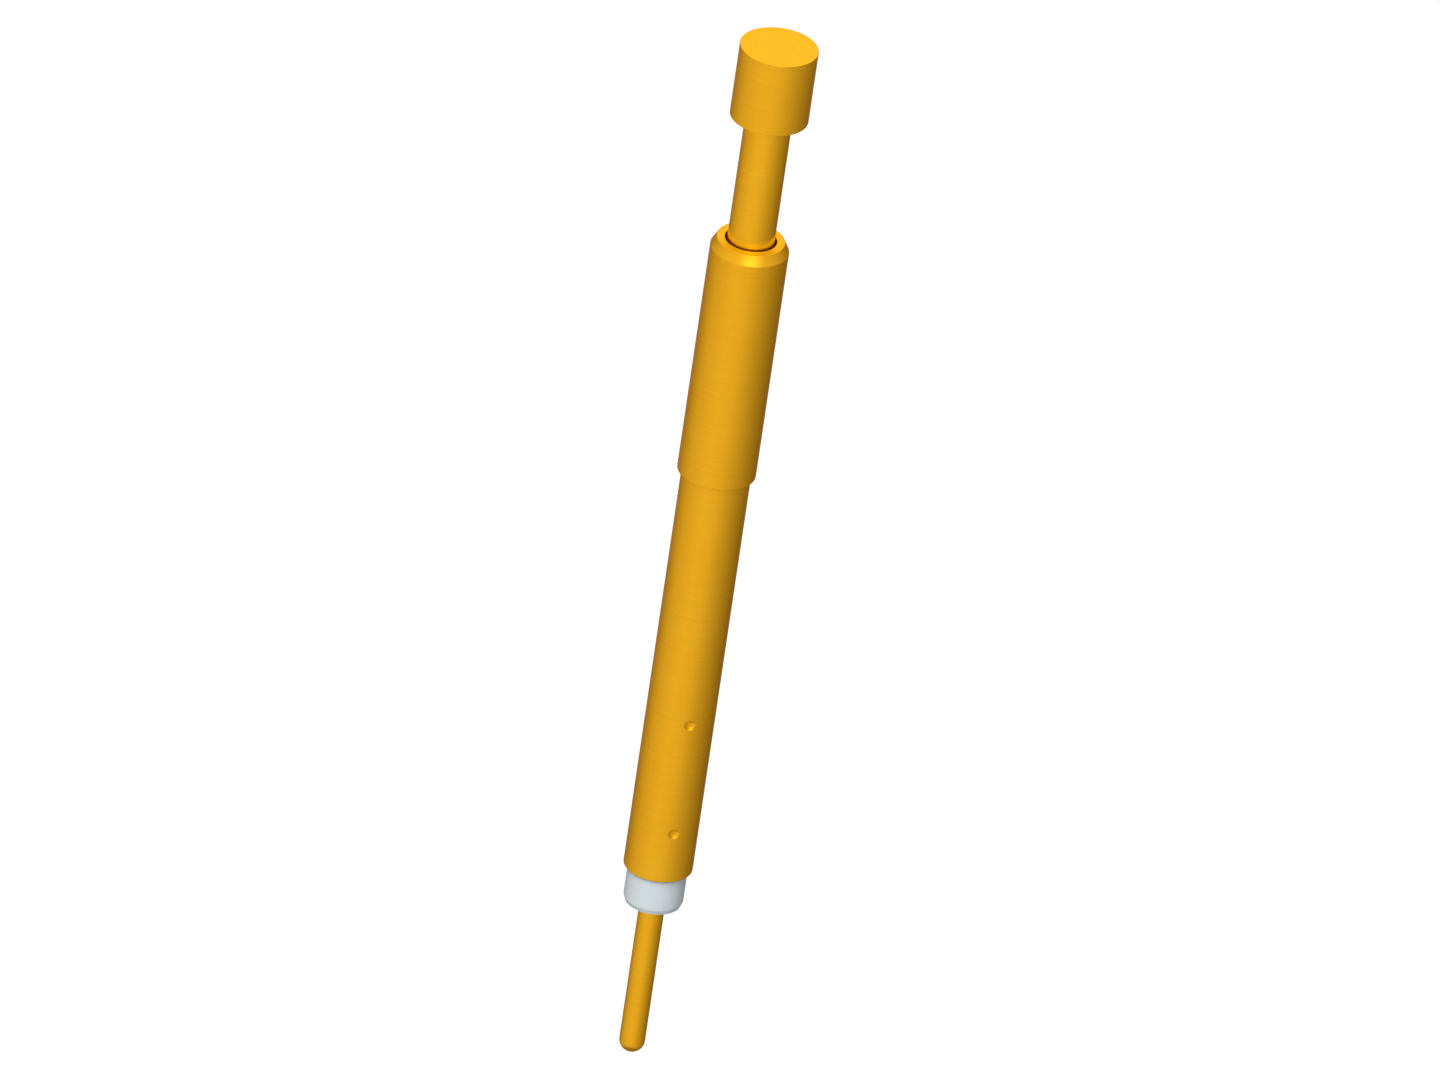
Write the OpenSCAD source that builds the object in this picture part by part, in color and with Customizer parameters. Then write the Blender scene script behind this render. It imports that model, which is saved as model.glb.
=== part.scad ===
// Spring contact probe with a built-in switching contact.
// A gold-plated plunger slides in a crimped barrel against a coil spring. Part way down
// its stroke the stepped bore in its foot closes on the slotted head of the tail pin,
// which two insulators hold clear of the barrel.
// Millimetres. The axis is Z, with the plunger's head at the top, and the origin lies
// on the axis in the plane of the shoulder under the collar.

/* [Barrel] */
// Outside diameter of the sleeve below the collar
sleeve_d = 2.36; // [2.3:0.02:2.5]
// Length of the sleeve below the collar
sleeve_len = 15.4; // [15:0.2:18]
// Wall thickness of the sleeve
sleeve_wall = 0.15; // [0.12:0.01:0.18]
// Width of the shoulder that the collar makes on the sleeve
shoulder_w = 0.155; // [0.1:0.005:0.3]
// Length of the collar
collar_len = 9; // [8:0.1:12]
// Length of the bevel round the mouth
bevel_len = 0.34; // [0.2:0.02:0.6]
// Width of the bevel round the mouth
bevel_w = 0.18; // [0.1:0.01:0.24]
// Depth of the relief inside the mouth
relief_depth = 0.4; // [0.2:0.05:0.8]
// Gap between the relief and the shaft
relief_gap = 0.08; // [0.05:0.01:0.12]
// Length of the bore that guides the shaft
guide_len = 2.6; // [2:0.1:3.5]

/* [Crimp dents] */
// Dents in each row round the sleeve
dent_count = 3; // [2:1:4]
// Direction of the first dent, in degrees from +X
dent_turn = -72; // [-180:1:180]
// Height of the lower row above the sleeve's foot
dent_height = 1.9; // [1.4:0.1:2.6]
// Distance between the two rows
dent_spacing = 4.25; // [3.8:0.05:5]
// Width of a dent at the sleeve's surface
dent_w = 0.38; // [0.3:0.02:0.5]
// Depth of a dent
dent_depth = 0.075; // [0.05:0.005:0.1]

/* [Plunger] */
// Diameter of the head
head_d = 2.66; // [2:0.02:3]
// Length of the head
head_len = 2.7; // [2:0.1:4]
// Width of the shoulder in the barrel that stops the stop bush
stop_ledge_w = 0.17; // [0.13:0.01:0.2]
// Full travel
travel = 4.3; // [3.5:0.1:4.6]
// Gap left between head and mouth at full travel
head_gap = 0.4; // [0.2:0.05:0.8]
// Depth by which the foot is turned down for the stop bush
foot_step = 0.08; // [0.05:0.01:0.1]
// Wall of the foot round the wide bore
foot_wall = 0.17; // [0.14:0.01:0.2]
// Length of the stop bush
stop_len = 1.6; // [1.2:0.1:2]

/* [Switch contact] */
// Travel at which the contact closes
switch_travel = 2; // [1.5:0.1:2.6]
// How far the contact head reaches into the plunger at rest
contact_entry = 1; // [0.9:0.1:1.4]
// Air gap round the contact head while the contact is open
open_gap = 0.17; // [0.14:0.01:0.2]
// Length of the contact head
contact_len = 0.8; // [0.6:0.05:0.9]
// Height of the contact head's land above the rod
contact_lip = 0.08; // [0.05:0.01:0.1]
// Width of the crossed slots
slot_w = 0.12; // [0.08:0.01:0.16]
// Depth of the crossed slots
slot_depth = 2; // [1.2:0.1:2.6]
// Room beyond the contact head at full travel
bore_room = 0.5; // [0.2:0.05:0.8]
// Point angle of the drill that made the bore
drill_angle = 118; // [90:1:140]

/* [Spring] */
// Diameter of the wire
wire_d = 0.22; // [0.18:0.01:0.23]
// Number of turns, with one closed turn at each end
turns = 20; // [14:1:24]
// Gap between the spring and the sleeve's bore
spring_gap = 0.08; // [0.05:0.01:0.1]
// Gap between an end turn and the next turn
turn_gap = 0.02; // [0.01:0.005:0.04]

/* [Insulators] */
// Length of the tail insulator that stands out of the sleeve
tail_show = 1.4; // [0.8:0.1:2.5]
// Length of the bevel at the tail insulator's end
tail_bevel_len = 0.18; // [0.1:0.02:0.3]
// Width of the bevel at the tail insulator's end
tail_bevel_w = 0.07; // [0.04:0.01:0.1]
// Height of the tail insulator above the lower dents
tail_over_dent = 2.3; // [1.5:0.1:2.8]
// Height of the spring seat above the upper dents
seat_over_dent = 0.95; // [0.6:0.05:1.4]
// Gap between the insulating tube and the inside of the spring
tube_gap = 0.11; // [0.08:0.01:0.15]
// Gap between the insulating tube and the plunger at full travel
tube_end_gap = 0.6; // [0.3:0.1:1]

/* [Tail pin] */
// Diameter of the tail
tail_d = 0.88; // [0.8:0.02:1]
// Length of the tail below its insulator
tail_len = 5.9; // [4:0.1:8]
// Width by which the pin's body stands out round the tail
pin_body_w = 0.18; // [0.12:0.01:0.24]
// Height of the pin's body above the foot of its insulator
pin_body_rise = 0.9; // [0.5:0.1:1.2]
// Width of the taper that wedges the pin's root in the insulator's foot
root_taper_w = 0.03; // [0.02:0.01:0.05]

/* [Fits] */
// Gap between pieces that slide on each other
run_gap = 0.03; // [0.02:0.005:0.04]
// Gap between pieces that are seated or pressed together
seat_gap = 0.01; // [0.01:0.005:0.02]
// Gap between the contact head and the narrow bore it wipes in
wipe_gap = 0.02; // [0.01:0.005:0.03]
// Broken edge on turned pieces
edge = 0.03; // [0.02:0.01:0.05]

/* [Hidden] */
$fn = 96;
GOLD = "#e6a51c";
PALE = "#d5dce0";
STEEL = "#8f959b";

// Facets of the swept wire
wire_sides = 8;
steps_per_turn = 16;

// Radii, from the outside inwards
sleeve_r = sleeve_d / 2;
collar_r = sleeve_r + shoulder_w;
bore_r = sleeve_r - sleeve_wall;
head_r = head_d / 2;
stop_r = bore_r - run_gap;
guide_r = stop_r - stop_ledge_w;
shaft_r = guide_r - run_gap;
relief_r = shaft_r + relief_gap;
foot_r = shaft_r - foot_step;
wide_bore_r = foot_r - foot_wall;
contact_r = wide_bore_r - open_gap;
narrow_bore_r = contact_r + wipe_gap;
rod_r = contact_r - contact_lip;
wire_r = wire_d / 2;
coil_r = bore_r - spring_gap - wire_r;
tube_r = coil_r - wire_r - tube_gap;
insulator_r = bore_r - seat_gap;
tail_r = tail_d / 2;
root_r = tail_r + root_taper_w;
pin_body_r = tail_r + pin_body_w;

// A dent is a shallow cap of a sphere, and the wall keeps its thickness behind it
dent_r = (dent_w * dent_w / 4 + dent_depth * dent_depth) / (2 * dent_depth);
bump_r = dent_r + sleeve_wall;
bump_half_w = sqrt(bump_r * bump_r - (bump_r - dent_depth) * (bump_r - dent_depth));
groove_r = bore_r - dent_depth - seat_gap;
groove_half_w = bump_half_w + seat_gap;

// Heights, from the top down
mouth_z = collar_len;
head_z = mouth_z + head_gap + travel;
head_top_z = head_z + head_len;
relief_z = mouth_z - relief_depth;
stop_z = relief_z - guide_len;
foot_top_z = stop_z - seat_gap;
foot_z = foot_top_z - stop_len;
contact_tip_z = foot_z + contact_entry;
switch_z = contact_tip_z + switch_travel;
bore_end_z = contact_tip_z + travel + bore_room;
tube_top_z = foot_z - travel - tube_end_gap;
sleeve_foot_z = -sleeve_len;
lower_dent_z = sleeve_foot_z + dent_height;
upper_dent_z = lower_dent_z + dent_spacing;
spring_seat_z = upper_dent_z + seat_over_dent;
split_z = lower_dent_z + tail_over_dent;
insulator_foot_z = sleeve_foot_z - tail_show;
pin_body_z = insulator_foot_z + pin_body_rise;
tail_tip_z = insulator_foot_z - tail_len;

// Spring heights, measured from its lower ground face
spring_len = foot_z - spring_seat_z - 2 * seat_gap;
ground_h = wire_d / 4;
closed_pitch = wire_d + turn_gap;
closed_h = ground_h + closed_pitch;
open_pitch = (spring_len - 2 * closed_h) / (turns - 2);

// Copies its children to each dent of the row at height z, with the sleeve's surface at the origin
module at_dents(z) {
    for (i = [0 : dent_count - 1])
        rotate(dent_turn + i * 360 / dent_count)
            translate([sleeve_r + dent_r - dent_depth, 0, z])
                children();
}

// Turned sleeve: wide bore from below, guide bore through the collar, bevelled mouth
module barrel_blank() {
    rotate_extrude()
        polygon([
            [bore_r, sleeve_foot_z],
            [sleeve_r - edge, sleeve_foot_z],
            [sleeve_r, sleeve_foot_z + edge],
            [sleeve_r, 0],
            [collar_r - edge, 0],
            [collar_r, edge],
            [collar_r, mouth_z - bevel_len],
            [collar_r - bevel_w, mouth_z],
            [relief_r, mouth_z],
            [relief_r, relief_z],
            [guide_r, relief_z - (relief_r - guide_r)],
            [guide_r, stop_z],
            [bore_r, stop_z]
        ]);
}

// Inner side of the dents in one row: the wall pushed into the bore
module bumps(z) {
    intersection() {
        at_dents(z) sphere(bump_r);
        translate([0, 0, z - bump_r]) cylinder(r = bore_r + sleeve_wall / 2, h = 2 * bump_r);
    }
}

module barrel() {
    color(GOLD)
        difference() {
            union() {
                barrel_blank();
                bumps(lower_dent_z);
                bumps(upper_dent_z);
            }
            at_dents(lower_dent_z) sphere(dent_r);
            at_dents(upper_dent_z) sphere(dent_r);
        }
}

// Turned in one piece: head, shaft, foot for the stop bush, and a stepped bore from below
module plunger() {
    color(GOLD)
        rotate_extrude()
            polygon([
                [0, head_top_z],
                [head_r - edge, head_top_z],
                [head_r, head_top_z - edge],
                [head_r, head_z + edge],
                [head_r - edge, head_z],
                [shaft_r, head_z],
                [shaft_r, foot_top_z],
                [foot_r, foot_top_z],
                [foot_r, foot_z],
                [wide_bore_r, foot_z],
                [wide_bore_r, switch_z - (wide_bore_r - narrow_bore_r)],
                [narrow_bore_r, switch_z],
                [narrow_bore_r, bore_end_z],
                [0, bore_end_z + narrow_bore_r / tan(drill_angle / 2)]
            ]);
}

// Ring pressed on the plunger's foot: it meets the step in the barrel and seats the spring
module stop_bush() {
    color(GOLD)
        rotate_extrude()
            polygon([
                [foot_r + seat_gap, foot_z],
                [stop_r - edge, foot_z],
                [stop_r, foot_z + edge],
                [stop_r, foot_top_z - edge],
                [stop_r - edge, foot_top_z],
                [foot_r + seat_gap, foot_top_z]
            ]);
}

// Height of the wire's centre after t turns: a closed turn at each end, an even pitch between
function coil_z(t) =
    t < 1 ? ground_h + closed_pitch * t :
    t > turns - 1 ? spring_len - coil_z(turns - t) :
    closed_h + open_pitch * (t - 1);

// Corner j of the wire's section after t turns, cut flat where the ends are ground
function wire_point(t, j) =
    let (turn = 360 * t)
    let (side = 360 * (j + 1 / 2) / wire_sides)
    let (r = coil_r + wire_r * cos(side))
    let (z = coil_z(t) + wire_r * sin(side))
    [r * cos(turn), r * sin(turn), max(0, min(spring_len, z))];

// Compression spring, swept ring by ring along its helix
module main_spring() {
    last = turns * steps_per_turn;
    points = [for (i = [0 : last], j = [0 : wire_sides - 1]) wire_point(i / steps_per_turn, j)];
    skin = [
        for (i = [0 : last - 1], j = [0 : wire_sides - 1])
            let (k = (j + 1) % wire_sides)
            let (a = i * wire_sides)
            let (b = a + wire_sides)
            each [[a + j, a + k, b + k], [a + j, b + k, b + j]]
    ];
    start_cap = [[for (j = [wire_sides - 1 : -1 : 0]) j]];
    end_cap = [[for (j = [0 : wire_sides - 1]) last * wire_sides + j]];
    color(STEEL)
        translate([0, 0, spring_seat_z + seat_gap])
            polyhedron(points, concat(skin, start_cap, end_cap));
}

// Plug that takes the upper dents and the spring, and a tube that centres the rod
module inner_insulator() {
    color(PALE)
        rotate_extrude()
            polygon([
                [rod_r + seat_gap, split_z + seat_gap],
                [insulator_r, split_z + seat_gap],
                [insulator_r, upper_dent_z - groove_half_w],
                [groove_r, upper_dent_z - groove_half_w],
                [groove_r, upper_dent_z + groove_half_w],
                [insulator_r, upper_dent_z + groove_half_w],
                [insulator_r, spring_seat_z],
                [tube_r, spring_seat_z],
                [tube_r, tube_top_z],
                [rod_r + seat_gap, tube_top_z]
            ]);
}

// Bush in the sleeve's foot, with a groove for the lower dents and a pocket for the pin's body
module tail_insulator() {
    color(PALE)
        rotate_extrude()
            polygon([
                [tail_r + seat_gap, insulator_foot_z],
                [insulator_r - tail_bevel_w, insulator_foot_z],
                [insulator_r, insulator_foot_z + tail_bevel_len],
                [insulator_r, lower_dent_z - groove_half_w],
                [groove_r, lower_dent_z - groove_half_w],
                [groove_r, lower_dent_z + groove_half_w],
                [insulator_r, lower_dent_z + groove_half_w],
                [insulator_r, split_z],
                [pin_body_r + seat_gap, split_z],
                [pin_body_r + seat_gap, pin_body_z - seat_gap],
                [root_r + seat_gap, pin_body_z - seat_gap]
            ]);
}

// One half of the tail pin's outline: round end, tail, tapered root, body, rod and contact head
module tail_pin_outline() {
    lead = contact_len / 4;
    intersection() {
        translate([0, tail_tip_z + tail_r]) circle(tail_r);
        translate([0, tail_tip_z]) square([tail_r, tail_r]);
    }
    polygon([
        [0, tail_tip_z + tail_r],
        [tail_r, tail_tip_z + tail_r],
        [tail_r, insulator_foot_z],
        [root_r, pin_body_z],
        [pin_body_r - edge, pin_body_z],
        [pin_body_r, pin_body_z + edge],
        [pin_body_r, split_z - edge],
        [pin_body_r - edge, split_z],
        [rod_r, split_z],
        [rod_r, contact_tip_z - contact_len],
        [contact_r, contact_tip_z - contact_len + lead],
        [contact_r, contact_tip_z - lead],
        [rod_r, contact_tip_z],
        [0, contact_tip_z]
    ]);
}

// Tail, body and rod turned in one piece, with crossed slots that make four sprung tines
module tail_pin() {
    color(GOLD)
        difference() {
            rotate_extrude() tail_pin_outline();
            for (turn = [0, 90])
                translate([0, 0, contact_tip_z])
                    rotate(turn)
                        cube([2 * tail_d, slot_w, 2 * slot_depth], center = true);
        }
}

barrel();
plunger();
stop_bush();
main_spring();
inner_insulator();
tail_insulator();
tail_pin();
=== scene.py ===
# %% [markdown]
# # A switching spring probe, finished for the studio
#
# The part is a pogo pin: a gold-plated plunger slides in a crimped barrel, and an insulated
# tail pin waits inside to be touched part way down the stroke. The solids arrive from the
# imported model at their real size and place. This lesson gives them smooth turned skins,
# plating, plastic and wire finishes, a camera and a small studio.

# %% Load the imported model
import math

import bpy
from mathutils import Matrix, Quaternion, Vector


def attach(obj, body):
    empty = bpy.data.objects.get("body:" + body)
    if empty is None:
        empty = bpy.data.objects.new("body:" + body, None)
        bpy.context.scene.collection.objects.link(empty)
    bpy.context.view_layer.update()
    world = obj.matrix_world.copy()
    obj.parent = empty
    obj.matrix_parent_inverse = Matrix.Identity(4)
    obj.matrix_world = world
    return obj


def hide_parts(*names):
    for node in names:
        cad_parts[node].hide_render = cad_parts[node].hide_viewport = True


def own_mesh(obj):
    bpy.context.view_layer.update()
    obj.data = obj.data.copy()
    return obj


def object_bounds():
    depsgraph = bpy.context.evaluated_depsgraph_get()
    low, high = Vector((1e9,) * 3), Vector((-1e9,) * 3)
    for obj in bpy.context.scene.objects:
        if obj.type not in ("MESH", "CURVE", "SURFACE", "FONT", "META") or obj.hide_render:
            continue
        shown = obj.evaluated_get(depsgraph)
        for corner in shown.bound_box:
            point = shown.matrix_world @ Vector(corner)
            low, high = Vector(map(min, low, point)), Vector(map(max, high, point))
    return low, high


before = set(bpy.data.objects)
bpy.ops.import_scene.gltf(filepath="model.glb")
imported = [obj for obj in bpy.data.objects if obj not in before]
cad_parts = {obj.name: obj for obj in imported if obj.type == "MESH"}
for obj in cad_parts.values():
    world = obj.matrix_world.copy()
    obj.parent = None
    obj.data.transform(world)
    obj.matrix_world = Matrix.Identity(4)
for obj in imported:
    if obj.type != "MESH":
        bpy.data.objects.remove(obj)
solid_box = [list(corner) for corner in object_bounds()]
MM = 0.001

print("nodes:", sorted(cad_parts))

# %% [markdown]
# ## Reading sizes from the solids
#
# Every piece here is round about the Z axis, so a solid is known from the radius and height
# of its vertices. Reading them back keeps the skins true to the solids if a size changes.
# The alternative, typing the sizes again, would let the two drift apart.

# %% Radii and heights of a solid
SAME = 0.002  # mm, closer than this is the same radius or height


def section(node):
    """Radius and height of each vertex of a solid, in millimetres."""
    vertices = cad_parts[node].data.vertices
    return [(math.hypot(v.co.x, v.co.y) / MM, v.co.z / MM) for v in vertices]


def radii_at(points, height):
    return [r for r, z in points if abs(z - height) < SAME]


def heights_at(points, radius):
    return [z for r, z in points if abs(r - radius) < SAME]


def span(values):
    return min(values), max(values)


def straight_wall(points):
    """Radius of the wall that keeps its radius over the longest run of heights."""

    def run(radius):
        low, high = span(heights_at(points, radius))
        return high - low

    return max(sorted({round(r, 3) for r, z in points}), key=run)


for name in sorted(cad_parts):
    low, high = span([z for r, z in section(name)])
    widest = max(r for r, z in section(name))
    print(f"{name}: {low:.2f} to {high:.2f} mm, radius {widest:.3f} mm")

# %% [markdown]
# ## Camera
#
# A probe is shown like an engineer's picture: from well above its side, leaning a little, and
# with almost no perspective. An orthographic camera would do that too, but its frame doesn't
# follow the part when the view changes. A very long lens far away gives the same look.

# %% Camera with a very long lens
ELEVATION = math.radians(29.4)
LEAN = math.radians(8.456)
FRAME_WIDTH = 48.34 * MM  # what the picture spans across, at the part
LENS = 1000  # mm, on the default 36 mm sensor
AIM = Vector((0.456, 0, -2.61)) * MM

camera_data = bpy.data.cameras.new("camera")
camera_data.lens = LENS
camera_back = Vector((0, -math.cos(ELEVATION), math.sin(ELEVATION)))
camera_distance = FRAME_WIDTH * LENS / camera_data.sensor_width
camera_data.clip_end = 4 * camera_distance
camera = bpy.data.objects.new("camera", camera_data)
camera.location = AIM + camera_back * camera_distance
camera.rotation_mode = "QUATERNION"
roll = Quaternion((0, 0, 1), LEAN)
camera.rotation_quaternion = camera_back.to_track_quat("Z", "Y") @ roll
bpy.context.collection.objects.link(camera)
bpy.context.scene.camera = camera
print(f"camera {camera_distance:.2f} m away")

# %% [markdown]
# ## Adding shader nodes
#
# A material is a small graph. One helper adds a node, sets its fields and joins its inputs,
# so each material below reads as a list of what it is made of.

# %% Colour and node helpers
def linear(code):
    """An sRGB hex colour as the linear colour that shaders use."""
    channels = [int(code[i : i + 2], 16) / 255 for i in (1, 3, 5)]
    curve = [c / 12.92 if c <= 0.04045 else ((c + 0.055) / 1.055) ** 2.4 for c in channels]
    return (*curve, 1)


def add(tree, kind, fields=None, **inputs):
    """Adds a node. Inputs are numbers, colours or another node's output socket."""
    node = tree.nodes.new(kind)
    for field, value in (fields or {}).items():
        setattr(node, field, value)
    for label, value in inputs.items():
        key = int(label[1:]) if label[0] == "_" else label.replace("_", " ")
        if isinstance(value, bpy.types.NodeSocket):
            tree.links.new(value, node.inputs[key])
        else:
            node.inputs[key].default_value = value
    return node


def blank_tree(owner):
    owner.use_nodes = True
    owner.node_tree.nodes.clear()
    return owner.node_tree


# %% [markdown]
# ## Studio floor and sky
#
# The ground is plain white. A floor can be painted white and lit until it clips, but that also
# overlights the part. Here the floor and the sky glow softly for the camera, for reflections
# and through clear things only, and the lamps stay at a level that shows colours as they are.
# The floor's own painted share keeps any shadow that falls on it.
#
# Hard gold plating is deeper in colour than fine gold, and where it shows itself, at the mouth
# and in the dents, the colour doubles and would turn to orange. A light that has been reflected
# twice is therefore given back some green and blue, so that gold seen in gold is still gold.
# That is a trick of the picture, and no real lamp does it.

# %% Floor and sky
FLOOR_GAP = 42 * MM
FLOOR_HALF = 3  # m
WHITE = linear("#FFFFFF")
TWICE_REFLECTED = tuple(2 * channel for channel in linear("#BCF9FF"))


def seen_directly(tree):
    """1 for camera, mirror and see-through rays, and 0 for the rays that carry light."""
    path = add(tree, "ShaderNodeLightPath").outputs
    either = add(
        tree,
        "ShaderNodeMath",
        {"operation": "MAXIMUM"},
        _0=path["Is Camera Ray"],
        _1=path["Is Glossy Ray"],
    )
    return add(
        tree,
        "ShaderNodeMath",
        {"operation": "MAXIMUM"},
        _0=either.outputs[0],
        _1=path["Is Transmission Ray"],
    ).outputs[0]


def shown_white(tree):
    """White, or a cooler and brighter white for rays that metal has already turned twice."""
    depth = add(tree, "ShaderNodeLightPath").outputs["Glossy Depth"]
    twice = add(tree, "ShaderNodeMath", {"operation": "GREATER_THAN"}, _0=depth, _1=1.5)
    mix = add(
        tree,
        "ShaderNodeMix",
        {"data_type": "RGBA"},
        _0=twice.outputs[0],
        _6=WHITE,
        _7=TWICE_REFLECTED,
    )
    return mix.outputs[2]


def stage_piece(name, corners, faces):
    mesh = bpy.data.meshes.new(name)
    mesh.from_pydata(corners, [], faces)
    made = bpy.data.objects.new(name, mesh)
    bpy.context.collection.objects.link(made)
    return made


def make_sky(ambient):
    world = bpy.data.worlds.new("sky")
    bpy.context.scene.world = world
    tree = blank_tree(world)
    soft = add(tree, "ShaderNodeBackground", Color=WHITE, Strength=ambient)
    shown = add(tree, "ShaderNodeBackground", Color=shown_white(tree), Strength=1.0)
    sky = add(
        tree,
        "ShaderNodeMixShader",
        _0=seen_directly(tree),
        _1=soft.outputs[0],
        _2=shown.outputs[0],
    )
    add(tree, "ShaderNodeOutputWorld", Surface=sky.outputs[0])


def make_floor(height, paint, glow_share, glow):
    half = FLOOR_HALF
    corners = [(-half, -half, height), (half, -half, height), (half, half, height), (-half, half, height)]
    floor = stage_piece("floor", corners, [(0, 1, 2, 3)])
    material = bpy.data.materials.new("pale_floor")
    tree = blank_tree(material)
    share = add(
        tree,
        "ShaderNodeMath",
        {"operation": "MULTIPLY"},
        _0=seen_directly(tree),
        _1=glow_share,
    )
    painted = add(tree, "ShaderNodeBsdfDiffuse", Color=linear(paint))
    glowing = add(tree, "ShaderNodeEmission", Color=shown_white(tree), Strength=glow)
    top = add(
        tree,
        "ShaderNodeMixShader",
        _0=share.outputs[0],
        _1=painted.outputs[0],
        _2=glowing.outputs[0],
    )
    # seen from below, the floor is clear
    clear = add(tree, "ShaderNodeBsdfTransparent")
    side = add(tree, "ShaderNodeNewGeometry").outputs["Backfacing"]
    both = add(tree, "ShaderNodeMixShader", _0=side, _1=top.outputs[0], _2=clear.outputs[0])
    add(tree, "ShaderNodeOutputMaterial", Surface=both.outputs[0])
    floor.data.materials.append(material)


floor_z = solid_box[0][2] - FLOOR_GAP
make_sky(ambient=0.15)
make_floor(floor_z, "#97999A", glow_share=0.80, glow=1.25)
print(f"floor at {floor_z / MM:.1f} mm")

# %% [markdown]
# ## Lamps
#
# Two soft boxes light the pale plastic: a high one to the left gives it its turn from light to
# shade, and one behind keeps the far side readable. Both are strong, and a strong lamp that
# shows in gold burns it to lemon, so they are flagged off the metal, as a photographer does
# with a card. Two gentle ones are there for the metal alone: a wide one in front puts the
# bright spot on the collar's bevel, and one high up behind lifts the flat faces.

# %% Soft boxes
def make_lamp(name, azimuth, elevation, distance, size, level, in_metal):
    """A square soft lamp aimed at the part. A level of 1 shows a white facing it as white."""
    data = bpy.data.lights.new(name, "AREA")
    data.shape = "SQUARE"
    data.size = size
    data.energy = level * math.pi**2 * distance**2
    a, e = math.radians(azimuth), math.radians(elevation)
    back = Vector((math.sin(a) * math.cos(e), -math.cos(a) * math.cos(e), math.sin(e)))
    lamp = bpy.data.objects.new(name, data)
    lamp.location = back * distance
    lamp.rotation_mode = "QUATERNION"
    lamp.rotation_quaternion = back.to_track_quat("Z", "Y")
    lamp.visible_glossy = in_metal
    bpy.context.collection.objects.link(lamp)
    radiance = level * math.pi * (distance / size) ** 2
    print(f"{name}: {radiance:.2f} times as bright as white")


make_lamp("high_lamp", -18, 45, distance=0.40, size=0.24, level=0.82, in_metal=False)
make_lamp("back_lamp", 180, 40, distance=0.40, size=0.24, level=0.60, in_metal=False)
make_lamp("front_lamp", 10, 27, distance=0.40, size=0.28, level=0.16, in_metal=True)
make_lamp("top_lamp", 165, 62, distance=0.45, size=0.45, level=0.15, in_metal=True)

# %% [markdown]
# ## Shade film
#
# Metal shows what is round it, and on a white floor a gold rod would look flat. A photographer
# rolls a sheet of graded grey film round a shiny part: clear towards the front left, darker
# to the right and behind, with a lighter strip straight behind, and fading out at the top.
# Only reflections see this film, so it takes no light from the part. A real film can't do
# that, and its grades are set for this picture.

# %% Graded film round the part
FILM_RADIUS = 30 * MM
FILM_TOP = 34 * MM
FILM_FULL = 2 * MM  # the film starts to fade out above this height
FILM_COLUMNS = 96
# painted shade: a dark disc that only reflections see, which darkens the gold's down-facing faces
DISC_DARKNESS = 0.72  # on the floor inside the roll, which the undersides show
# degrees to the right of the front, and how dark the film is there
FILM_DARKNESS = (
    (-180, 0.50),
    (-148, 0.74),
    (-90, 0.35),
    (-30, 0.17),
    (10, 0.22),
    (50, 0.44),
    (100, 0.67),
    (145, 0.83),
    (180, 0.50),
)


def film_material():
    material = bpy.data.materials.new("graded_grey_film")
    tree = blank_tree(material)
    place = add(tree, "ShaderNodeTexCoord").outputs["Object"]
    axes = add(tree, "ShaderNodeSeparateXYZ", Vector=place).outputs
    forward = add(tree, "ShaderNodeMath", {"operation": "MULTIPLY"}, _0=axes["Y"], _1=-1.0)
    azimuth = add(
        tree, "ShaderNodeMath", {"operation": "ARCTAN2"}, _0=axes["X"], _1=forward.outputs[0]
    )
    turn = add(
        tree, "ShaderNodeMapRange", Value=azimuth.outputs[0], From_Min=-math.pi, From_Max=math.pi
    )
    grade = add(tree, "ShaderNodeValToRGB", Fac=turn.outputs[0])
    stops = grade.color_ramp.elements
    for degrees, darkness in FILM_DARKNESS[1:-1]:
        stops.new(degrees / 360 + 0.5).color = (darkness, darkness, darkness, 1)
    for stop, (_, darkness) in ((stops[0], FILM_DARKNESS[0]), (stops[-1], FILM_DARKNESS[-1])):
        stop.color = (darkness, darkness, darkness, 1)
    fade = add(
        tree,
        "ShaderNodeMapRange",
        Value=axes["Z"],
        From_Min=FILM_FULL,
        From_Max=FILM_TOP,
        To_Min=1.0,
        To_Max=0.0,
    )
    dark = add(
        tree,
        "ShaderNodeMath",
        {"operation": "MULTIPLY"},
        _0=grade.outputs["Color"],
        _1=fade.outputs[0],
    )
    clear = add(tree, "ShaderNodeBsdfTransparent")
    black = add(tree, "ShaderNodeBsdfDiffuse", Color=linear("#000000"))
    film = add(
        tree,
        "ShaderNodeMixShader",
        _0=dark.outputs[0],
        _1=clear.outputs[0],
        _2=black.outputs[0],
    )
    add(tree, "ShaderNodeOutputMaterial", Surface=film.outputs[0])
    return material


# painted shade for the undersides: only reflections see this dark disc
def dark_disc_material():
    material = bpy.data.materials.new("dark_film")
    tree = blank_tree(material)
    clear = add(tree, "ShaderNodeBsdfTransparent")
    black = add(tree, "ShaderNodeBsdfDiffuse", Color=linear("#000000"))
    film = add(
        tree, "ShaderNodeMixShader", _0=DISC_DARKNESS, _1=clear.outputs[0], _2=black.outputs[0]
    )
    add(tree, "ShaderNodeOutputMaterial", Surface=film.outputs[0])
    return material


def show_to_reflections_only(piece):
    piece.visible_camera = False
    piece.visible_diffuse = False
    piece.visible_transmission = False
    piece.visible_shadow = False


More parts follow.
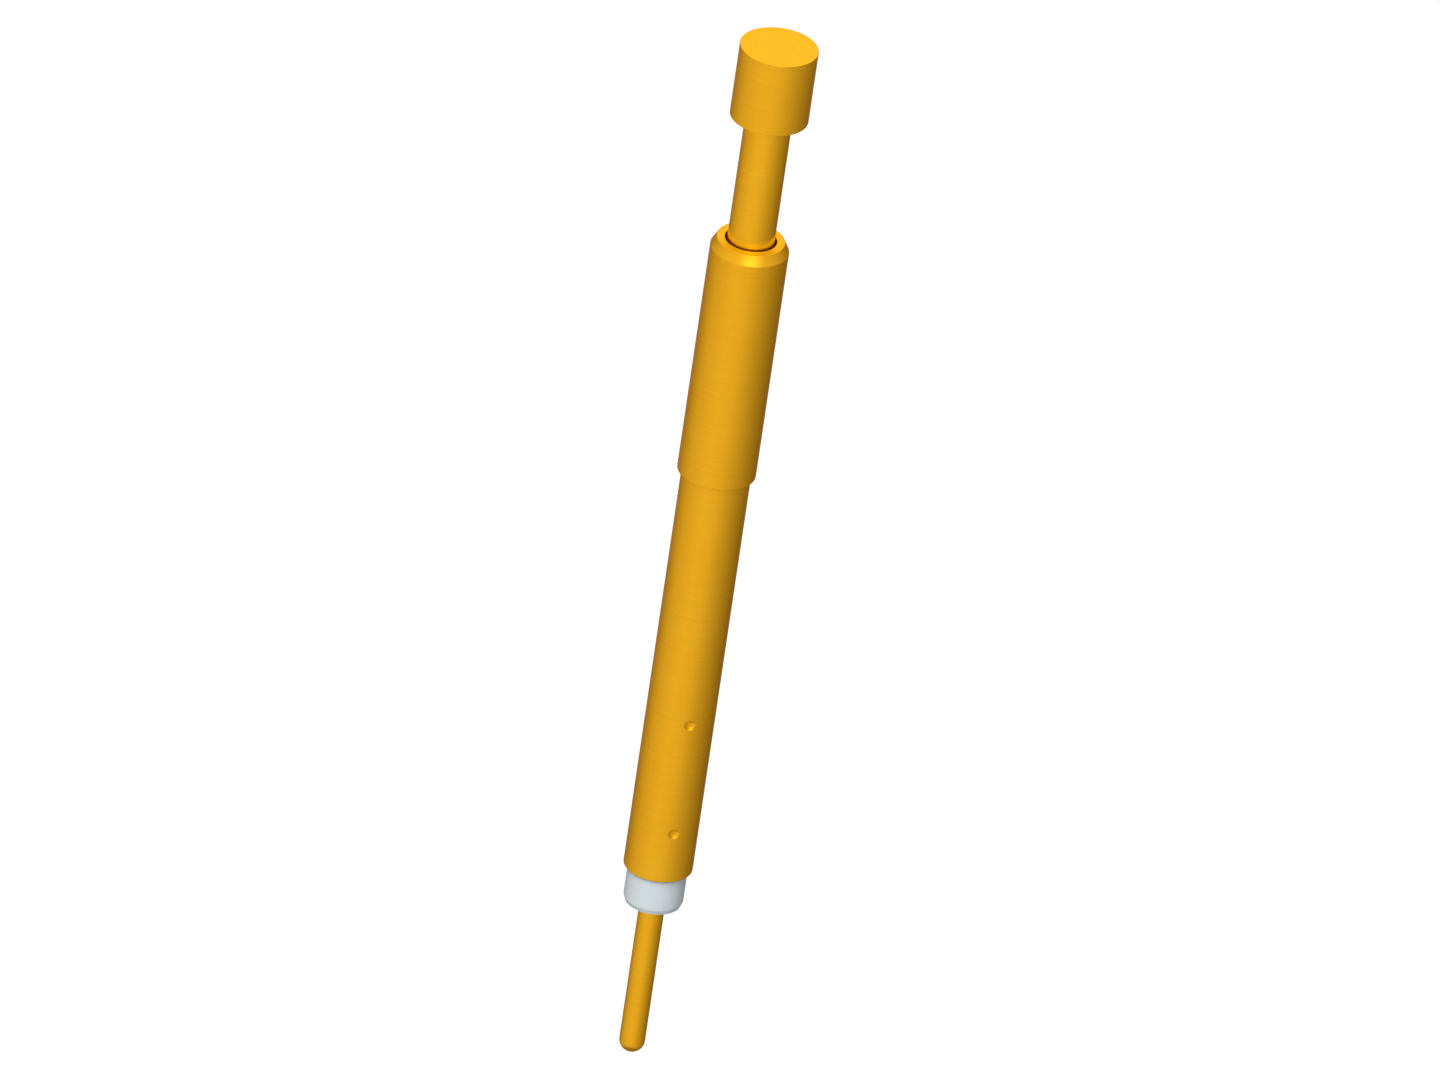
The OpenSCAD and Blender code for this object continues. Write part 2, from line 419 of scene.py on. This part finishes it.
def make_film():
    low, high, faces = [], [], []
    count = FILM_COLUMNS
    for j in range(count):
        a = 2 * math.pi * j / count
        x, y = FILM_RADIUS * math.cos(a), FILM_RADIUS * math.sin(a)
        low.append((x, y, floor_z + MM))
        high.append((x, y, FILM_TOP))
        n = (j + 1) % count
        faces.append((j, n, n + count, j + count))
    roll = stage_piece("shade_film", low + high, faces)
    roll.data.materials.append(film_material())
    show_to_reflections_only(roll)
    disc = stage_piece("shade_disc", low, [tuple(range(count))])
    disc.data.materials.append(dark_disc_material())
    show_to_reflections_only(disc)
    print(f"film: {count} panels at {FILM_RADIUS / MM:.0f} mm")


make_film()

# %% [markdown]
# ## Gold plating on turned brass
#
# The barrel, the plunger and the tail pin are turned on a lathe from brass or bronze rod and
# then plated with hard gold. Plating a micrometre thick follows every tool mark, so the eye
# sees a satin metal: fine rings round each wall and each flat face, and a colour that shifts
# a little where the bath laid down more or less gold.
#
# The tool leaves its marks along the outline. Radius plus height grows along walls, faces and
# bevels alike, so one noise over that sum draws rings on all of them. An image of scratches
# could do it too, but it would need unwrapping and would show its seams.

# %% Turned surface pattern
def turned_marks(tree, feed_mm):
    """Noise that changes only along the tool's path. feed_mm is the width of one mark."""
    place = add(tree, "ShaderNodeTexCoord").outputs["Object"]
    axes = add(tree, "ShaderNodeSeparateXYZ", Vector=place).outputs
    flat = add(tree, "ShaderNodeCombineXYZ", X=axes["X"], Y=axes["Y"])
    radius = add(
        tree, "ShaderNodeVectorMath", {"operation": "LENGTH"}, _0=flat.outputs[0]
    ).outputs["Value"]
    path = add(tree, "ShaderNodeMath", {"operation": "ADD"}, _0=radius, _1=axes["Z"])
    noise = add(
        tree,
        "ShaderNodeTexNoise",
        {"noise_dimensions": "1D"},
        W=path.outputs[0],
        Scale=1 / (feed_mm * MM),
        Detail=2.0,
        Roughness=0.6,
    )
    return noise.outputs["Fac"]


def cloud(tree, size_mm):
    """Soft blotches about size_mm across."""
    place = add(tree, "ShaderNodeTexCoord").outputs["Object"]
    noise = add(
        tree,
        "ShaderNodeTexNoise",
        Vector=place,
        Scale=1 / (size_mm * MM),
        Detail=2.0,
    )
    return noise.outputs["Fac"]


def blend_colours(tree, share, first, second):
    mix = add(
        tree,
        "ShaderNodeMix",
        {"data_type": "RGBA"},
        _0=share,
        _6=linear(first),
        _7=linear(second),
    )
    return mix.outputs[2]


def spread(tree, value, low, high):
    """Rescales a 0 to 1 value to run from low to high."""
    return add(
        tree, "ShaderNodeMapRange", Value=value, To_Min=low, To_Max=high
    ).outputs["Result"]


# %% Gold, plastic and wire
MARK_FEED = 0.14  # mm: a real feed is near 0.02 mm a turn, which is too fine to show here
BATH_PATCH = 1.6  # mm, the width of the patches that took more or less gold
EDGE_TINT = linear("#FFE7C2")  # gold keeps its colour almost to grazing


def gold_plated_brass():
    material = bpy.data.materials.new("hard_gold_plating_turned")
    tree = blank_tree(material)
    marks = turned_marks(tree, MARK_FEED)
    bath = cloud(tree, BATH_PATCH)
    bright = blend_colours(tree, marks, "#FFBF2B", "#F9B722")
    deep = blend_colours(tree, marks, "#FFB821", "#F5AC1A")
    colour = add(tree, "ShaderNodeMix", {"data_type": "RGBA"}, _0=bath, _6=bright, _7=deep)
    bump = add(
        tree,
        "ShaderNodeBump",
        Strength=0.5,
        Distance=0.004 * MM,
        Height=marks,
    )
    shader = add(
        tree,
        "ShaderNodeBsdfPrincipled",
        Base_Color=colour.outputs[2],
        Metallic=1.0,
        Roughness=spread(tree, marks, 0.28, 0.40),
        Specular_Tint=EDGE_TINT,
        Normal=bump.outputs[0],
    )
    add(tree, "ShaderNodeOutputMaterial", Surface=shader.outputs[0])
    return material


def turned_acetal():
    """Natural white acetal, turned from rod: dense, slightly waxy, matt where it was cut."""
    material = bpy.data.materials.new("natural_acetal_turned")
    tree = blank_tree(material)
    marks = turned_marks(tree, MARK_FEED)
    colour = blend_colours(tree, cloud(tree, 0.8), "#E8F1F4", "#E0EAEE")
    bump = add(
        tree,
        "ShaderNodeBump",
        Strength=0.3,
        Distance=0.003 * MM,
        Height=marks,
    )
    shader = add(
        tree,
        "ShaderNodeBsdfPrincipled",
        Base_Color=colour,
        Roughness=spread(tree, marks, 0.38, 0.52),
        IOR=1.48,
        Normal=bump.outputs[0],
    )
    add(tree, "ShaderNodeOutputMaterial", Surface=shader.outputs[0])
    return material


def drawn_spring_wire():
    """Stainless spring wire: drawn bright, with a faint blotchy film from heat setting."""
    material = bpy.data.materials.new("stainless_spring_wire_drawn")
    tree = blank_tree(material)
    film = cloud(tree, 0.5)
    shader = add(
        tree,
        "ShaderNodeBsdfPrincipled",
        Base_Color=blend_colours(tree, film, "#B9BBBE", "#A5A6A8"),
        Metallic=1.0,
        Roughness=spread(tree, film, 0.25, 0.36),
    )
    add(tree, "ShaderNodeOutputMaterial", Surface=shader.outputs[0])
    return material


gold = gold_plated_brass()
acetal = turned_acetal()
wire = drawn_spring_wire()
print("materials:", [m.name for m in (gold, acetal, wire)])

# %% [markdown]
# ## Turning a skin
#
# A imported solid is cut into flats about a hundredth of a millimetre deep, which show on a
# part this small. Each visible piece is therefore turned again from its outline, as a lathe
# would: the outline's corners become small arcs, the outline is swept round the axis, and
# each vertex keeps the true direction of the surface, so walls look round and faces look flat
# without any smoothing tricks.

# %% Outline with rounded corners
EDGE = 0.03  # mm, the broken edge of a turned corner
INNER = 0.015  # mm, the tool nose's radius in an inner corner
LARGE_ARC = 0.1  # mm, arcs of this radius or more get more points
SMALL_ARC_STEPS = 4
LARGE_ARC_STEPS = 20
TINY = 1e-6  # mm, closer than this is the same point


def rounded(corners):
    """Points along a closed outline as (radius, height, normal), corners turned into arcs."""
    points = []
    count = len(corners)
    for i, (r, z, size) in enumerate(corners):
        here = Vector((r, z))
        before = Vector(corners[i - 1][:2])
        after = Vector(corners[(i + 1) % count][:2])
        come = (here - before).normalized()
        go = (after - here).normalized()
        if r == 0:
            # an end on the axis has one face, which is square to the axis there
            face = go if before.x == 0 else come
            points.append((0, z, Vector((0, -1 if face.x > 0 else 1))))
            continue
        turn = math.atan2(come.x * go.y - come.y * go.x, come.dot(go))
        side = math.copysign(1, turn)
        start = here - come * size * math.tan(abs(turn) / 2)
        normal = Vector((come.y, -come.x))
        centre = start - side * size * normal
        steps = SMALL_ARC_STEPS if size < LARGE_ARC else LARGE_ARC_STEPS
        for k in range(steps + 1):
            bent = Matrix.Rotation(turn * k / steps, 2) @ normal
            spot = centre + side * size * bent
            if not points or (spot - Vector(points[-1][:2])).length > TINY:
                points.append((*spot, bent))
    return points


# %% Sweep an outline round the axis
COLUMN_COUNT = 144
EVEN_COLUMNS = [2 * math.pi * j / COLUMN_COUNT for j in range(COLUMN_COUNT)]
SHARP_ANGLE = math.radians(35)


def finish_piece(name, points, normals, faces, material):
    """Makes the object from millimetres, with the given surface directions if there are any."""
    mesh = bpy.data.meshes.new(name)
    mesh.from_pydata([Vector(p) * MM for p in points], [], faces)
    mesh.validate()
    mesh.shade_smooth()
    if normals:
        mesh.normals_split_custom_set_from_vertices(normals)
    else:
        mesh.set_sharp_from_angle(angle=SHARP_ANGLE)
    mesh.materials.append(material)
    made = bpy.data.objects.new(name, mesh)
    bpy.context.collection.objects.link(made)
    print(f"{name}: {len(points)} vertices, {len(faces)} faces")
    return made


def turned(name, corners, material, columns=EVEN_COLUMNS, dents=()):
    """A solid of revolution. Cells that a dent covers are filled by the dent instead."""
    outline = rounded(corners)
    points, normals, rings, faces = [], [], [], []
    for r, z, normal in outline:
        turns = columns if r > TINY else [0]
        rings.append([len(points) + j for j in range(len(turns))])
        for a in turns:
            points.append((r * math.cos(a), r * math.sin(a), z))
            normals.append((normal.x * math.cos(a), normal.x * math.sin(a), normal.y))
    count = len(columns)
    for k, low in enumerate(rings):
        high = rings[(k + 1) % len(rings)]
        for j in range(count):
            if any(dent.covers(outline, columns, k, j) for dent in dents):
                continue
            corner = [low[j % len(low)], low[(j + 1) % len(low)]]
            corner += [high[(j + 1) % len(high)], high[j % len(high)]]
            face = list(dict.fromkeys(corner))
            if len(face) > 2:
                faces.append(face)
    for dent in dents:
        dent.fill(outline, columns, rings, points, normals, faces)
    return finish_piece(name, points, normals, faces, material)


# %% [markdown]
# ## Plunger
#
# The plunger is one turning: a flat head that meets the contact under test, a shaft that the
# collar guides, and a foot bored from below for the switching contact. Its skin is swept from
# the outline read back from the solid.

# %% Turn the plunger
plunger_section = section("plunger")
foot_z, head_top_z = span([z for r, z in plunger_section])
wide_bore_r, foot_r = span(radii_at(plunger_section, foot_z))
head_r = max(r for r, z in plunger_section)
head_z = min(heights_at(plunger_section, head_r)) - EDGE
shaft_r = min(radii_at(plunger_section, head_z))
shaft_foot_z = min(heights_at(plunger_section, shaft_r))
cone_tip_z = max(z for r, z in plunger_section if r < SAME and z < head_z)
wide_top_z = max(heights_at(plunger_section, wide_bore_r))
drilled = [(r, z) for r, z in plunger_section if SAME < r < wide_bore_r - SAME]
narrow_bore_r = straight_wall(drilled)
narrow_low_z, narrow_high_z = span(heights_at(drilled, narrow_bore_r))
print(f"narrow bore {narrow_bore_r:.3f} mm, {narrow_low_z:.2f} to {narrow_high_z:.2f} mm")

plunger = turned(
    "turned_plunger",
    [
        (wide_bore_r, foot_z, INNER),
        (foot_r, foot_z, INNER),
        (foot_r, shaft_foot_z, INNER),
        (shaft_r, shaft_foot_z, INNER),
        (shaft_r, head_z, INNER),
        (head_r, head_z, EDGE),
        (head_r, head_top_z, EDGE),
        (0, head_top_z, 0),
        (0, cone_tip_z, 0),
        (narrow_bore_r, narrow_high_z, INNER),
        (narrow_bore_r, narrow_low_z, INNER),
        (wide_bore_r, wide_top_z, INNER),
    ],
    gold,
)
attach(plunger, "plunger")
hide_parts("plunger")

# %% [markdown]
# ## Crimp dents
#
# Once the two insulators are in the sleeve, a blunt punch drives its wall into the grooves
# round them. Each dent is a shallow cap of a ball with a softly rolled rim, and the wall
# behind it bulges into the bore. A bump map would fake it from the front, but the rim catches
# light and the shape has to survive a close look, so the dent is real geometry: a square of
# the wall's grid is taken out and filled with rings that run from square to round.

# %% Dents as rings in the wall's grid
RIM_SOFTNESS = 0.004  # mm
DENT_RINGS = (1.2, 1.1, 1.05, 1.0, 0.95, 0.9, 0.8, 0.6, 0.3)  # shares of the rim's radius
DENT_HALF_TURN = 0.30  # radians of the wall that a dent's square takes, each way
DENT_HALF_RISE = 0.34  # mm of the wall that it takes, each way
DENT_CELLS = 12


class Dent:
    """One dent in a wall. side is 1 on the outer wall and -1 on the inner one."""

    def __init__(self, wall_r, side, angle, height, ball_r, depth):
        self.wall_r, self.side, self.angle, self.height = wall_r, side, angle, height
        self.ball_r, self.depth = ball_r, depth
        self.rim_r = math.sqrt(ball_r**2 - (ball_r - depth) ** 2)

    def rows(self, outline):
        return [
            k
            for k, (r, z, _) in enumerate(outline)
            if abs(r - self.wall_r) < SAME and abs(z - self.height) < DENT_HALF_RISE + TINY
        ]

    def turns(self, columns):
        return [j for j, a in enumerate(columns) if abs(a - self.angle) < DENT_HALF_TURN + TINY]

    def covers(self, outline, columns, k, j):
        rows, turns = self.rows(outline), self.turns(columns)
        return rows[0] <= k < rows[-1] and turns[0] <= j < turns[-1]

    def sink(self, distance):
        """Depth of the wall and its slope at a distance from the dent's middle."""
        flat = math.sqrt(self.ball_r**2 - distance**2)
        below = flat - (self.ball_r - self.depth)
        root = math.hypot(below, RIM_SOFTNESS)
        slope = -distance / flat * (1 + below / root) / 2
        return (below + root) / 2, slope

    def place(self, u, v):
        """Point and surface direction at u round the wall and v up it from the middle."""
        distance = math.hypot(u, v)
        depth, slope = self.sink(distance)
        a = self.angle + u / self.wall_r
        out = Vector((math.cos(a), math.sin(a), 0))
        along = Vector((-math.sin(a), math.cos(a), 0))
        point = out * (self.wall_r - depth) + Vector((0, 0, self.height + v))
        lean = Vector((0, 0, 0))
        if distance > TINY:
            lean = (along * u + Vector((0, 0, v))) * (slope / distance)
        return point, (out + lean).normalized() * self.side

    def fill(self, outline, columns, rings, points, normals, faces):
        rows, turns = self.rows(outline), self.turns(columns)
        edge = [(rows[0], j) for j in turns]
        edge += [(k, turns[-1]) for k in rows[1:]]
        edge += [(rows[-1], j) for j in reversed(turns[:-1])]
        edge += [(k, turns[0]) for k in reversed(rows[1:-1])]
        outer = [rings[k][j] for k, j in edge]
        flat = [
            Vector(((columns[j] - self.angle) * self.wall_r, outline[k][1] - self.height))
            for k, j in edge
        ]
        for share in DENT_RINGS:
            inner = []
            for spot in flat:
                u, v = spot.normalized() * share * self.rim_r
                point, normal = self.place(u, v)
                inner.append(len(points))
                points.append(tuple(point))
                normals.append(tuple(normal))
            for i in range(len(outer)):
                n = (i + 1) % len(outer)
                faces.append([outer[i], outer[n], inner[n], inner[i]])
            outer = inner
        point, normal = self.place(0, 0)
        points.append(tuple(point))
        normals.append(tuple(normal))
        middle = len(points) - 1
        for i in range(len(outer)):
            faces.append([outer[i], outer[(i + 1) % len(outer)], middle])


# %% [markdown]
# ## Barrel
#
# The barrel is one long turning, drilled from below, with a thick collar at the top that stops
# it in its receptacle. The bevelled mouth is relieved so that the plunger can't pick up its
# edge. The grid of the wall is laid out with a square for each dent and even columns between.
# The dents' own sizes are written out again here, the same as on the solid.

# %% Turn the barrel
DENT_COUNT = 3
FIRST_DENT = math.radians(-72)
DENT_ROWS = (1.9, 6.15)  # mm above the sleeve's foot
DENT_WIDTH = 0.38  # mm
DENT_DEPTH = 0.075  # mm
GAP_COLUMNS = 36

barrel_section = section("barrel")
sleeve_foot_z, mouth_z = span([z for r, z in barrel_section])
relief_r, rim_r = span(radii_at(barrel_section, mouth_z))
collar_r = max(r for r, z in barrel_section)
bevel_z = max(heights_at(barrel_section, collar_r))
sleeve_r = min(radii_at(barrel_section, 0))
bore_r = min(radii_at(barrel_section, sleeve_foot_z))
relief_z = min(heights_at(barrel_section, relief_r))
guide_r = min(r for r, z in barrel_section)
stop_z, guide_top_z = span(heights_at(barrel_section, guide_r))

ball_r = ((DENT_WIDTH / 2) ** 2 + DENT_DEPTH**2) / (2 * DENT_DEPTH)
bump_r = ball_r + sleeve_r - bore_r


def dent_heights(sign):
    """Grid heights through both rows of dents, upwards or downwards."""
    heights = [
        sleeve_foot_z + row + DENT_HALF_RISE * (2 * k / DENT_CELLS - 1)
        for row in DENT_ROWS
        for k in range(DENT_CELLS + 1)
    ]
    return heights[::sign]


def barrel_columns():
    """Angles of the grid: a square for each dent, and even columns between."""
    sector = 2 * math.pi / DENT_COUNT
    free = sector - 2 * DENT_HALF_TURN
    angles = []
    for i in range(DENT_COUNT):
        start = FIRST_DENT + i * sector - DENT_HALF_TURN
        angles += [start + 2 * DENT_HALF_TURN * j / DENT_CELLS for j in range(DENT_CELLS)]
        start += 2 * DENT_HALF_TURN
        angles += [start + free * j / GAP_COLUMNS for j in range(GAP_COLUMNS)]
    return angles


columns = barrel_columns()
dents = [
    Dent(wall_r, side, FIRST_DENT + i * 2 * math.pi / DENT_COUNT, sleeve_foot_z + row, ball, DENT_DEPTH)
    for wall_r, side, ball in ((sleeve_r, 1, ball_r), (bore_r, -1, bump_r))
    for i in range(DENT_COUNT)
    for row in DENT_ROWS
]
barrel = turned(
    "turned_barrel",
    [
        (bore_r, sleeve_foot_z, INNER),
        (sleeve_r, sleeve_foot_z, EDGE),
        *[(sleeve_r, z, 0) for z in dent_heights(1)],
        (sleeve_r, 0, INNER),
        (collar_r, 0, EDGE),
        (collar_r, bevel_z, INNER),
        (rim_r, mouth_z, INNER),
        (relief_r, mouth_z, INNER),
        (relief_r, relief_z, INNER),
        (guide_r, guide_top_z, INNER),
        (guide_r, stop_z, INNER),
        (bore_r, stop_z, INNER),
        *[(bore_r, z, 0) for z in dent_heights(-1)],
    ],
    gold,
    columns,
    dents,
)
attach(barrel, "barrel")
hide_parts("barrel")

# %% [markdown]
# ## Tail insulator
#
# A bush of natural white acetal keeps the tail pin clear of the barrel. It is turned with a
# lead bevel at its foot, a groove for the lower crimps and a pocket for the pin's body.

# %% Turn the tail insulator
GROOVE_LIMIT = 0.2  # mm, the groove is shallower than this and the pocket lies deeper

bush_section = section("tail_insulator")
bush_foot_z, bush_top_z = span([z for r, z in bush_section])
bush_r = max(r for r, z in bush_section)
hole_r, bevel_r = span(radii_at(bush_section, bush_foot_z))
bush_levels = sorted({round(z, 4) for z in heights_at(bush_section, bush_r)})
bush_bevel_z, groove_low_z, groove_high_z = bush_levels[:3]
groove_r = min(r for r in radii_at(bush_section, groove_low_z) if r > bush_r - GROOVE_LIMIT)
pocket_r = min(radii_at(bush_section, bush_top_z))
pocket_z = min(heights_at(bush_section, pocket_r))
root_r = min(radii_at(bush_section, pocket_z))

tail_insulator = turned(
    "turned_tail_bush",
    [
        (hole_r, bush_foot_z, INNER),
        (bevel_r, bush_foot_z, INNER),
        (bush_r, bush_bevel_z, INNER),
        (bush_r, groove_low_z, INNER),
        (groove_r, groove_low_z, INNER),
        (groove_r, groove_high_z, INNER),
        (bush_r, groove_high_z, INNER),
        (bush_r, bush_top_z, INNER),
        (pocket_r, bush_top_z, INNER),
        (pocket_r, pocket_z, INNER),
        (root_r, pocket_z, INNER),
    ],
    acetal,
)
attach(tail_insulator, "barrel")
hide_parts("tail_insulator")

# %% [markdown]
# ## Tail pin
#
# The tail pin is one turning from its full-radius end to the contact head, which waits inside
# the plunger. Two crossed saw cuts split that head into four springy tines. The round part is
# swept like the others, and the cuts are made the way a shop makes them: by a slitting saw,
# which is a boolean difference here.

# %% Turn the tail pin
pin_section = section("tail_pin")
tail_tip_z, contact_tip_z = span([z for r, z in pin_section])
pin_body_r = max(r for r, z in pin_section)
pin_body_z, pin_body_top_z = span(heights_at(pin_section, pin_body_r - EDGE))
tail_r = max(radii_at(pin_section, bush_foot_z))
pin_root_r = min(r for r in radii_at(pin_section, pin_body_z) if r > tail_r)
rod_r = max(radii_at(pin_section, contact_tip_z))
contact_section = [(r, z) for r, z in pin_section if z > foot_z]
contact_r = max(r for r, z in contact_section)
contact_low_z, contact_high_z = span(heights_at(contact_section, contact_r))
contact_foot_z = contact_low_z - (contact_tip_z - contact_high_z)

tail_pin = turned(
    "turned_tail_pin",
    [
        (0, tail_tip_z, 0),
        (tail_r, tail_tip_z, tail_r),
        (tail_r, bush_foot_z, 0),
        (pin_root_r, pin_body_z, 0),
        (pin_body_r, pin_body_z, EDGE),
        (pin_body_r, pin_body_top_z, EDGE),
        (rod_r, pin_body_top_z, INNER),
        (rod_r, contact_foot_z, EDGE),
        (contact_r, contact_low_z, EDGE),
        (contact_r, contact_high_z, EDGE),
        (rod_r, contact_tip_z, INNER),
        (0, contact_tip_z, 0),
    ],
    gold,
)
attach(tail_pin, "barrel")
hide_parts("tail_pin")

# %% Saw the crossed slots in the contact head
SLOT_SEARCH = 2  # mm below the plunger's foot, which is deeper than the slots go
SAW_REACH = 1  # mm, well past the head's side and its tip

tine_section = [(r, z) for r, z in pin_section if r < rod_r / 2 and z > foot_z - SLOT_SEARCH]
slot_floor_z = min(z for r, z in tine_section)
# the corners between the slots lie nearest to the axis, at 45 degrees
slot_half = min(r for r, z in tine_section) * math.cos(math.radians(45))


def saw(name, half_x, half_y):
    """The block that a slitting saw takes out, from the slots' floor to above the tip."""
    corners = [
        Vector((x * half_x, y * half_y, z)) * MM
        for z in (slot_floor_z, contact_tip_z + SAW_REACH)
        for x, y in ((-1, -1), (1, -1), (1, 1), (-1, 1))
    ]
    sides = [(k, (k + 1) % 4, (k + 1) % 4 + 4, k + 4) for k in range(4)]
    mesh = bpy.data.meshes.new(name)
    mesh.from_pydata(corners, [], [(3, 2, 1, 0), (4, 5, 6, 7), *sides])
    blade = bpy.data.objects.new(name, mesh)
    bpy.context.collection.objects.link(blade)
    return blade


blades = [saw("saw_x", SAW_REACH, slot_half), saw("saw_y", slot_half, SAW_REACH)]
for blade in blades:
    cut = tail_pin.modifiers.new(blade.name, "BOOLEAN")
    cut.operation = "DIFFERENCE"
    cut.object = blade
evaluated = tail_pin.evaluated_get(bpy.context.evaluated_depsgraph_get())
sawn = bpy.data.meshes.new_from_object(evaluated)
tail_pin.modifiers.clear()
tail_pin.data = sawn
for blade in blades:
    bpy.data.objects.remove(blade)
# the swept directions don't fit the cut faces, so the sawn pin is shaded by its angles
custom = sawn.attributes.get("custom_normal")
if custom:
    sawn.attributes.remove(custom)
sawn.set_sharp_from_angle(angle=SHARP_ANGLE)
print(f"slots {2 * slot_half:.2f} mm wide, {contact_tip_z - slot_floor_z:.2f} mm deep")
print(f"tail pin: {len(sawn.vertices)} vertices, materials {len(sawn.materials)}")

# %% [markdown]
# ## Spring
#
# The spring is stainless wire coiled with a closed turn at each end, and its ends are ground
# flat. A curve with a bevel would do for the turns but not for the ground ends, so the wire's
# round section is swept step by step, and what would stand past an end face is pressed flat
# on it. The spring has to shorten as the plunger comes down.

# %% Coil the spring
TURNS = 20
TURN_GAP = 0.02  # mm between an end turn and the next one
WIRE_SIDES = 16
TURN_STEPS = 48
SOLID_WIRE_SIDES = 8  # the solid's wire has flats, which stand in from the round

spring_section = section("main_spring")
spring_low_z, spring_high_z = span([z for r, z in spring_section])
coil_inner_r, coil_outer_r = span([r for r, z in spring_section])
coil_r = (coil_inner_r + coil_outer_r) / 2
wire_r = (coil_outer_r - coil_inner_r) / 2 / math.cos(math.pi / SOLID_WIRE_SIDES)
spring_length = spring_high_z - spring_low_z
ground_height = wire_r / 2
closed_pitch = 2 * wire_r + TURN_GAP
closed_height = ground_height + closed_pitch
open_pitch = (spring_length - 2 * closed_height) / (TURNS - 2)


def coil_height(turn):
    """Height of the wire's centre above the lower ground face."""
    if turn < 1:
        return ground_height + closed_pitch * turn
    if turn > TURNS - 1:
        return spring_length - coil_height(TURNS - turn)
    return closed_height + open_pitch * (turn - 1)


def coiled_spring():
    points, faces = [], []
    for i in range(TURNS * TURN_STEPS + 1):
        turn = i / TURN_STEPS
        a = 2 * math.pi * turn
        for j in range(WIRE_SIDES):
            side = 2 * math.pi * j / WIRE_SIDES
            r = coil_r + wire_r * math.cos(side)
            z = coil_height(turn) + wire_r * math.sin(side)
            z = max(0, min(spring_length, z)) + spring_low_z
            points.append((r * math.cos(a), r * math.sin(a), z))
    for i in range(TURNS * TURN_STEPS):
        a, b = i * WIRE_SIDES, (i + 1) * WIRE_SIDES
        for j in range(WIRE_SIDES):
            k = (j + 1) % WIRE_SIDES
            faces.append([a + j, b + j, b + k, a + k])
    faces.append(list(range(WIRE_SIDES)))
    faces.append(list(range(len(points) - 1, len(points) - 1 - WIRE_SIDES, -1)))
    return finish_piece("coiled_spring", points, None, faces, wire)


spring = coiled_spring()
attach(spring, "spring")
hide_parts("main_spring")
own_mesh(spring)

# %% [markdown]
# ## Stop bush and inner insulator
#
# These two can't be seen from outside. Their solids are true to size and plain in shape, so
# they stay as they are and only take the right finish.

# %% Finish the two hidden solids
for name, material in (("stop_bush", gold), ("inner_insulator", acetal)):
    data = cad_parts[name].data
    data.materials.clear()
    data.materials.append(material)
    print(f"{name}: {material.name}")

# %% [markdown]
#
# The standard view transform shows each colour as it was written.

# %% Finish
bpy.context.scene.view_settings.view_transform = "Standard"
